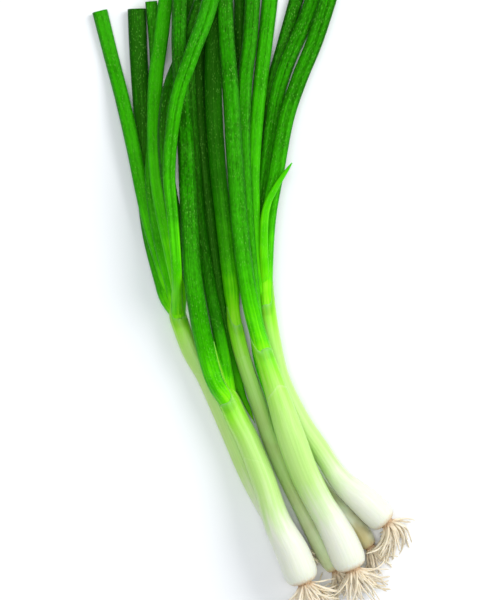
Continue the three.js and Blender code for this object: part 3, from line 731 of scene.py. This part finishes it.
def stalk_tube(letter):
    onion, piece = ONIONS[letter], pieces["stalk_" + letter]
    length = piece["length"]
    random = np.random.default_rng(ord(letter))
    theta = np.linspace(0, 2 * np.pi, STALK_SIDES, endpoint=False)
    bulb_end = BULB_END * (1 - np.cos(np.linspace(0, np.pi / 2, BULB_END_RINGS)))
    body = np.arange(BULB_END + STALK_RING, length - LAST_RING_GAP, STALK_RING)
    outer = np.concatenate([bulb_end, body, [length]])
    s = np.concatenate([outer, np.linspace(length, length - MOUTH_DEPTH, MOUTH_RINGS)])
    inner = np.arange(len(s)) >= len(outer)
    reach, side = TONGUES[letter]
    turn = (theta - math.radians(side) + np.pi) % (2 * np.pi) - np.pi
    tongue = reach * np.exp(-((turn / TONGUE_WIDTH) ** 2)) + RIM_WAVE * np.cos(3 * theta + side)
    beyond = tongue * smoothstep(s, length - TONGUE_RISE, length)[:, None]
    around = s[:, None] + beyond
    ribs = RIB_DEPTH * np.cos(RIBS * theta + 2 * np.sin(theta))
    uneven = ribs * smoothstep(s, BULB_END, length / 2)[:, None]
    for waves in (1, 2, 3):
        phase, bend = random.uniform(0, 2 * np.pi, 2)
        swing = np.sin(s * waves / SWELLING_LENGTH + bend)[:, None]
        uneven = uneven + SWELLING / waves * np.cos(waves * theta + phase) * swing
    uneven = uneven * smoothstep(s, length, length - EVEN_NEAR_NECK)[:, None]
    rings = np.empty((*around.shape, 3))
    skin = np.empty_like(rings)
    for k, angle in enumerate(theta):
        here = around[:, k]
        on_leaf = here > length
        wide, flat = leaf_section(LEADING[letter], here - length)
        wide = np.where(on_leaf, wide + SHEATH_LIP + LIP_GAP, stalk_radius(onion, here, length) * SKIN_SHARE)
        wide = (wide - SHEATH_LIP * inner) * (1 + uneven[:, k])
        high = wide * np.where(on_leaf, flat, 1)
        low_line = frames_along(piece, np.minimum(here, length))
        high_line = frames_along(pieces[LEADING[letter]], np.maximum(here - length, 0))
        centre, _, across, up = (np.where(on_leaf[:, None], b, a) for a, b in zip(low_line, high_line))
        x, z = wide * math.cos(angle), high * math.sin(angle)
        rings[:, k] = centre + across * x[:, None] + up * z[:, None]
        skin[:, k] = np.column_stack([x, wide * math.sin(angle), here + ord(letter) * APART])
    below, slant, highest, edge_depth = OLD_SHEATHS[letter]
    green, whiteness, soil_and_shade = STALK_LOOKS[letter]
    old_edge = length - below + slant * np.cos(theta - math.radians(highest)) + EDGE_WAVE * np.cos(5 * theta)
    return ring_mesh(
        placed(rings), skin, from_neck=(s[:, None] - length) / green, from_root=around, whiteness=whiteness,
        mouth=np.exp(-(length + tongue - around) / LIP_FADE), edge_depth=edge_depth,
        sheath_edge=np.clip(around - old_edge, -EDGE_REACH, EDGE_REACH),
        tone=soil_and_shade * smoothstep(length - around, SOIL_AND_SHADE_STARTS, SOIL_AND_SHADE_FULL))


for letter in ONIONS:
    dress("stalk_skin_" + letter, stalk_tube(letter), [STALK_FINISH], "stalk_" + letter)

# %% [markdown]
# ## The leaves
#
# A spring onion's leaf is a long hollow tube, a little flattened, lime where it leaves the neck and deep
# green further out. It has close parallel veins, a soft mottle with small pale dots, painted shade on its
# sides, and here and there a lengthwise fold where the tube has collapsed. The cut end shows the thin wall
# and the pale hollow inside. How dark each leaf is (its own green, with painted shade on those lower in
# the pile) and how far the lime runs up it are kept on its points, so that one finish serves them all.

# %% The leaves' finish
def leaf_finish():
    material, tree, veins, growth = new_finish("leaf_skin", 2.1, 0.01, 0.06)
    shift = times_plus(tree, growth["Patches"], 12.0, times_plus(tree, veins["Bands"], 10.0, -11.0))
    from_neck = maths(tree, "ADD", attribute(tree, "from_neck"), shift)
    greens = shared(tree, GREENS, From_Neck=from_neck)
    # Each leaf's darkness: its own green, with painted shade on the leaves lower in the pile.
    share = times_plus(tree, veins["Lines"], 0.34, attribute(tree, "tone"))
    share = times_plus(tree, veins["Bands"], 0.2, share)
    share = times_plus(tree, growth["Patches"], 0.22, share)
    mottle = times_plus(tree, growth["Grain"], 1.6, -0.8)
    share = times_plus(tree, mottle, between(tree, from_neck, 0.0, 50.0, 0.25, 1.0), share)
    # Painted shade: the leaf's sides are darker than its middle.
    share = times_plus(tree, between(tree, attribute(tree, "margin"), 0.5, 1.0), 0.45, share)
    colour = mixed(tree, share, greens["Bright"], greens["Deep"])
    strewn = times_plus(tree, growth["Patches"], 0.8, 0.2)
    dots = maths(tree, "MULTIPLY", growth["Dots"], strewn)
    colour = mixed(tree, times_plus(tree, dots, 0.6), colour, greens["Bright"])
    colour = mixed(tree, times_plus(tree, dots, 0.22), colour, srgb("#A8DC70"))
    colour = mixed(tree, attribute(tree, "inside"), colour, srgb("#B4DA84"))
    roughness = times_plus(tree, growth["Grain"], 0.3, 0.2)
    relief = times_plus(tree, veins["Lines"], 0.05, times_plus(tree, veins["Bands"], 0.1))
    relief = times_plus(tree, growth["Grain"], 0.06, times_plus(tree, growth["Dots"], 0.02, relief))
    close_finish(tree, colour, roughness, relief, {
        "Specular IOR Level": 0.25, "Specular Tint": srgb("#90E058")})
    return material


LEAF_FINISH = leaf_finish()

# %% Build each leaf as a tube with a thin wall at its cut end
LEAF_SIDES = 44
LEAF_RING = 1.1
END_WALL = 0.55
HOLLOW_RINGS = 12
LEAF_SWELLING = 0.025
LEAF_SWELLING_LENGTHS = (24, 34)
CREASE_WIDTH = 0.4  # as a share of the leaf's half-width
CREASE_BELOW = 0.3
DEEP_FOLD = 0.2
PLEATS = 9
PLEAT_DEPTH = 0.2
IN_THE_SHEATH = 4
STUB = 7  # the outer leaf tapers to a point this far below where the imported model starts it
LEAF_LOOKS = {  # how dark at the neck and at the far end (0 is bright), its own green with painted shade on leaves lower in the pile, and how far the lime runs up it
    "a1": (-0.1, 0.3, 1.0), "a2": (0.3, 0.6, 1.0), "a3": (0.1, 0.4, 1.0), "b1": (-0.1, 0.1, 1.0),
    "b2": (0.1, 0.1, 1.2), "c1": (-0.4, -0.1, 2.0), "c2": (-0.3, -0.3, 3.0), "c3": (-0.3, 0.2, 1.6),
    "d1": (-0.3, 0.9, 1.6), "d2": (0.8, 0.8, 1.0), "e1": (-0.3, -0.3, 2.2), "e2": (-0.2, -0.2, 1.6),
    "e3": (0.3, 0.7, 1.0), "e4": (0.1, 0.1, 1.5), "e5": (-0.1, 0.0, 2.0), "f1": (-0.2, 0.1, 1.5),
    "f2": (0.3, 0.3, 1.0), "f3": (0.6, 0.8, 1.0),
}


def leaf_line(name, s):
    """Inside the sheath, a leaf follows the line of its stalk."""
    line = frames_along(pieces[name], s)
    if name == "d2":
        return line
    stalk = pieces["stalk_" + name[0]]
    inside = frames_along(stalk, stalk["length"] + np.minimum(s, 0))
    return [np.where((s < 0)[:, None], low, high) for low, high in zip(inside, line)]


def leaf_tube(name):
    piece = pieces[name]
    leaf, length = piece["leaf"], piece["length"]
    dark_and_shaded_near, dark_and_shaded_far, lime = LEAF_LOOKS[name]
    random = np.random.default_rng([ord(letter) for letter in name])
    theta = np.linspace(0, 2 * np.pi, LEAF_SIDES, endpoint=False)
    first = -STUB if name == "d2" else -IN_THE_SHEATH
    outer = np.linspace(first, length, int((length - first) / LEAF_RING))
    hollow = [] if leaf.get("pointed") else np.linspace(length, length - LEAF_OPENING, HOLLOW_RINGS)
    s = np.concatenate([outer, hollow])
    wall = END_WALL * (np.arange(len(s)) >= len(outer))
    wide, flat = leaf_section(name, s)
    if name == "d2":
        wide = wide * smoothstep(s, -STUB * 1.3, 3)
    parted = smoothstep(s, LEAF_SPREAD, LEAF_SPREAD * 2)
    uneven = 0
    for waves in (1, 2, 3):
        phase, bend = random.uniform(0, 2 * np.pi, 2)
        swing = np.sin(s * waves / random.uniform(*LEAF_SWELLING_LENGTHS) + bend) * parted
        uneven = uneven + LEAF_SWELLING / waves * swing[:, None] * np.cos(waves * theta + phase)
    x = (wide - wall)[:, None] * np.cos(theta) * (1 + uneven)
    z = (wide * flat - wall)[:, None] * np.sin(theta) * (1 + uneven)
    sideways = x / wide[:, None]
    depth = (leaf["fold"] * wide * parted)[:, None]
    crease = depth * np.exp(-((sideways / CREASE_WIDTH) ** 2))
    if leaf["fold"] > DEEP_FOLD:
        crease = crease + PLEAT_DEPTH * depth * (1 + np.cos(sideways * PLEATS))
    z = z - np.where(z > 0, crease, crease * CREASE_BELOW)
    rings = rings_round(leaf_line(name, s), x, z)
    skin = skin_places(x, z / flat[:, None], s[:, None] + 200 * random.random())
    # How dark the leaf is here: its own green, with painted shade on leaves lower in the pile.
    tone = lerp(dark_and_shaded_near, dark_and_shaded_far, smoothstep(s, 0, length * 0.6))[:, None]
    # The last value darkens the leaf's sides: painted shade.
    return ring_mesh(placed(rings), skin, from_neck=s[:, None] / lime, inside=wall[:, None] > 0, tone=tone,
                     margin=np.abs(np.cos(theta)))


for letter, onion in ONIONS.items():
    dress("leaf_skins_" + letter, joined([leaf_tube(name) for name in onion["leaves"]]), [LEAF_FINISH],
          "leaves_" + letter)
dress("outer_leaf_skin", leaf_tube("d2"), [LEAF_FINISH], "outer_leaf_d")

# %% [markdown]
# ## The roots
#
# The roots grow from a tan plate that closes the bulb. They are thin, a little wavy, and droop on the
# surface. Each one is a short tube whose heading sinks as it grows, with a seeded random start, so the tuft
# is the same on every run.

# %% The finishes of roots and root plates
def root_finish():
    material, tree, veins, growth = new_finish("root_skin", 1.2, 0.06, 0.3)
    from_root = attribute(tree, "from_root")
    pale = colours(tree, from_root, [(0, "#DAC2A0"), (3, "#F2E8D2"), (12, "#F7F0E0"), (22, "#F1E7CE")])
    brown = colours(tree, from_root, [(0, "#BFA07A"), (4, "#DECCA8"), (12, "#E8DABC"), (22, "#D8C6A0")])
    share = times_plus(tree, growth["Patches"], 0.4, attribute(tree, "tone"))
    colour = mixed(tree, share, pale, brown)
    colour = mixed(tree, times_plus(tree, veins["Lines"], 0.2), colour, srgb("#C4A47E"))
    relief = times_plus(tree, growth["Grain"], 0.08, times_plus(tree, veins["Lines"], 0.05))
    close_finish(tree, colour, times_plus(tree, growth["Grain"], 0.3, 0.42), relief, {
        "Subsurface Weight": 0.15, "Subsurface Radius": (1.0, 0.8, 0.5), "Subsurface Scale": 0.001,
        "Specular IOR Level": 0.35})
    return material


def plate_finish():
    material, tree, veins, growth = new_finish("root_plate", 2.4, 0.4, 0.5)
    colour = mixed(tree, growth["Patches"], srgb("#C4A07C"), srgb("#8A6844"))
    colour = mixed(tree, times_plus(tree, veins["Lines"], 0.45), colour, srgb("#E2CBA8"))
    relief = times_plus(tree, growth["Grain"], 0.5, times_plus(tree, veins["Bands"], 0.3))
    roughness = times_plus(tree, growth["Grain"], 0.2, 0.6)
    close_finish(tree, colour, roughness, relief, {"Specular IOR Level": 0.3})
    return material


ROOT_FINISHES = [root_finish(), plate_finish()]

# %% Grow one root
ROOT_SIDES = 7
ROOT_STEP = 1.2
LOWEST_ROOT = 0.45
HIGHEST_ROOT = TOP_OF_PILE - 1
FURTHEST_ROOT = cad_box[0][1] * 1000 + 1
BULB_GAP = 0.5
WIGGLE = 0.045
WIGGLE_KEPT = 0.75


def pushed_clear(line, letter):
    """Keep a root's line out of the other onions' stalks."""
    for piece in (pieces["stalk_" + other] for other in ONIONS if other != letter):
        centres = np.column_stack([piece["x"], piece["y"], piece["z"]])
        away = line[:, None] - centres
        distance = np.linalg.norm(away, axis=2)
        nearest = np.argmin(distance - piece["h"], axis=1)
        rows = np.arange(len(line))
        short = np.maximum(piece["h"][nearest] + BULB_GAP - distance[rows, nearest], 0)
        line = line + away[rows, nearest] / distance[rows, nearest, None] * short[:, None]
    return line


def root_line(start, heading, length, pull, random):
    line = [start]
    wiggle = np.zeros(3)
    for _ in range(round(length / ROOT_STEP)):
        wiggle = WIGGLE_KEPT * wiggle + random.normal(0, WIGGLE, 3)
        heading = heading / np.linalg.norm(heading) + wiggle + pull * ROOT_STEP
        if line[-1][2] <= LOWEST_ROOT:
            heading[2] = max(heading[2], 0)
        line.append(line[-1] + heading / np.linalg.norm(heading) * ROOT_STEP)
        line[-1][2] = np.clip(line[-1][2], LOWEST_ROOT, HIGHEST_ROOT)
    return np.array(line)


def root_tube(line, thick, thin, random):
    slopes = np.gradient(line, axis=0)
    along = slopes / np.maximum(np.linalg.norm(slopes, axis=1, keepdims=True), 1e-6)
    across = np.cross(along, SIDEWAYS_UP)
    across = across / np.maximum(np.linalg.norm(across, axis=1, keepdims=True), 1e-3)
    up = np.cross(across, along)
    share = np.linspace(0, 1, len(line))
    knots = np.sin(share * random.uniform(9, 20) + random.uniform(0, 6))
    radius = lerp(thick, thin, share) * (1 + 0.15 * knots)
    radius[-1] *= 0.4
    theta = np.linspace(0, 2 * np.pi, ROOT_SIDES, endpoint=False)
    x, z = radius[:, None] * np.cos(theta), radius[:, None] * np.sin(theta)
    rings = rings_round((line, along, across, up), x, z)
    far = np.arange(len(line))[:, None] * ROOT_STEP
    skin = skin_places(x, z, far + random.uniform(0, 300))
    return ring_mesh(placed(rings), skin, from_root=far, tone=random.uniform(0, 0.45))


# %% Grow the six tufts, each from its plate
ROOTS = {  # how many roots, their shortest and longest length, and which way they lean as they grow
    "a": (84, 14, 24, (0.015, 0)), "b": (84, 13, 23, (0.01, -0.01)), "c": (76, 13, 23, (-0.06, -0.05)),
    "d": (40, 9, 15, (0, 0)), "e": (36, 8, 13, (0, 0)), "f": (42, 10, 16, (0.03, 0)),
}
GOLDEN_ANGLE = 2.4
ROOT_START = 1.0
ROOTED_SHARE = 0.78
FLARE = np.array([0.95, 0.95, 0.55])
STRAY = 0.2
DROOP = (-0.1, -0.04)
THICK_END = (0.5, 0.8)
THIN_END = (0.25, 0.4)
PLATE_SIDES = 40
PLATE_OUTLINE = [(0.06, 0.3), (0.9, 0.3), (0.96, -0.3), (0.88, -0.9), (0.7, -1.6), (0.45, -2.2), (0.06, -2.6)]


def plate_tube(letter):
    radius = ONIONS[letter]["plate"]
    r, s = np.array(PLATE_OUTLINE)[::-1].T * [[radius], [1]]
    theta = np.linspace(0, 2 * np.pi, PLATE_SIDES, endpoint=False)
    knobs = 1 + 0.07 * np.cos(9 * theta + ord(letter)) * smoothstep(-s, 0, 1.5)[:, None]
    x, z = r[:, None] * knobs * np.cos(theta), r[:, None] * knobs * np.sin(theta)
    rings = rings_round(frames_along(pieces["stalk_" + letter], s), x, z)
    return ring_mesh(placed(rings), skin_places(x, z, s[:, None]), material=1, from_root=0, tone=0)


def tuft(letter):
    count, shortest, longest, lean = ROOTS[letter]
    random = np.random.default_rng(500 + ord(letter))
    points, along, across, up = frames_along(pieces["stalk_" + letter], np.array([0.0]))
    tubes = [plate_tube(letter)]
    for i in range(count):
        ring = math.sqrt((i + 0.5) / count)
        turn = i * GOLDEN_ANGLE
        radial = across[0] * math.cos(turn) + up[0] * math.sin(turn)
        start = points[0] - along[0] * ROOT_START + radial * ring * ONIONS[letter]["plate"] * ROOTED_SHARE
        heading = radial * ring * FLARE - along[0] + random.normal(0, STRAY, 3)
        pull = np.array([*lean, random.uniform(*DROOP)])
        line = root_line(start, heading, random.uniform(shortest, longest), pull, random)
        line[1:] = pushed_clear(line[1:], letter)
        line[1:-1] = (line[:-2] + line[1:-1] * 2 + line[2:]) / 4
        line[:, 2] = np.clip(line[:, 2], LOWEST_ROOT, HIGHEST_ROOT)
        too_far = turned(line)[:, 1] + ORIGIN[1] < FURTHEST_ROOT
        if too_far.any():
            line = line[:np.argmax(too_far)]
        if len(line) > 3:
            tubes.append(root_tube(line, random.uniform(*THICK_END), random.uniform(*THIN_END), random))
    return joined(tubes)


for letter in ONIONS:
    dress("root_tuft_" + letter, tuft(letter), ROOT_FINISHES, "roots_" + letter)

# %% [markdown]
# ## Floor, light and camera
#
# The bunch lies on a plain white surface in soft studio light. A large lamp at the upper right gives the
# soft highlights and the shadow on the left, a second one overhead fills the gaps in the pile, and a bright
# sky all round keeps the shade light. The camera looks straight down from far away, turned as the
# photograph was taken.

# %% The floor
HALF_FLOOR = 2.5
floor_mesh = bpy.data.meshes.new("floor")
corners = [(x * HALF_FLOOR, y * HALF_FLOOR, 0) for x, y in ((-1, -1), (1, -1), (1, 1), (-1, 1))]
floor_mesh.from_pydata(corners, [], [(0, 1, 2, 3)])
floor = in_scene("floor", floor_mesh)
floor_paint = bpy.data.materials.new("floor_paint")
floor_paint.use_nodes = True
paint = floor_paint.node_tree.nodes["Principled BSDF"]
paint.inputs["Base Color"].default_value = srgb("#F9FAFC")
paint.inputs["Roughness"].default_value = 0.9
floor_mesh.materials.append(floor_paint)
floor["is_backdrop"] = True

# %% The camera, straight above the middle of the photographed field
CAMERA_HEIGHT = 1.3
FIELD = 0.3  # metres covered by the picture's long side
PILE_MIDDLE = 0.008
SENSOR = 36
middle = placed(np.array([[0.0, 0.0, 0.0]]))[0]
camera_data = bpy.data.cameras.new("camera")
camera_data.sensor_width = SENSOR
camera_data.lens = SENSOR * (CAMERA_HEIGHT - PILE_MIDDLE) / FIELD
camera = in_scene("camera", camera_data)
camera.location = (middle[0], middle[1], CAMERA_HEIGHT)
camera.rotation_euler = (0, 0, TURN)
bpy.context.scene.camera = camera

# %% The lamps and the sky
def soft_lamp(name, place, size, power):
    """A round lamp that faces the origin. Place and size in metres, power in watts."""
    data = bpy.data.lights.new(name, "AREA")
    data.shape = "DISK"
    data.size = size
    data.energy = power
    lamp = in_scene(name, data)
    lamp.location = place
    lamp.rotation_euler = (-Vector(place)).to_track_quat("-Z", "Y").to_euler()


soft_lamp("window_lamp", (1.45, 0.5, 1.35), 1.3, 27)
soft_lamp("overhead_lamp", (-0.2, 0.1, 2.4), 1.2, 19)

world = bpy.data.worlds.new("sky")
bpy.context.scene.world = world
world.use_nodes = True
sky = world.node_tree.nodes["Background"]
sky.inputs["Color"].default_value = srgb("#F0F6FB")
sky.inputs["Strength"].default_value = 0.54
bpy.context.scene.view_settings.view_transform = "Standard"

# %% Compare the dressed part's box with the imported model's
dressed_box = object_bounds()
for label, (low, high) in (("packed", cad_box), ("dressed", dressed_box)):
    print(label, "box, mm:", [round(v * 1000, 1) for v in low], [round(v * 1000, 1) for v in high])
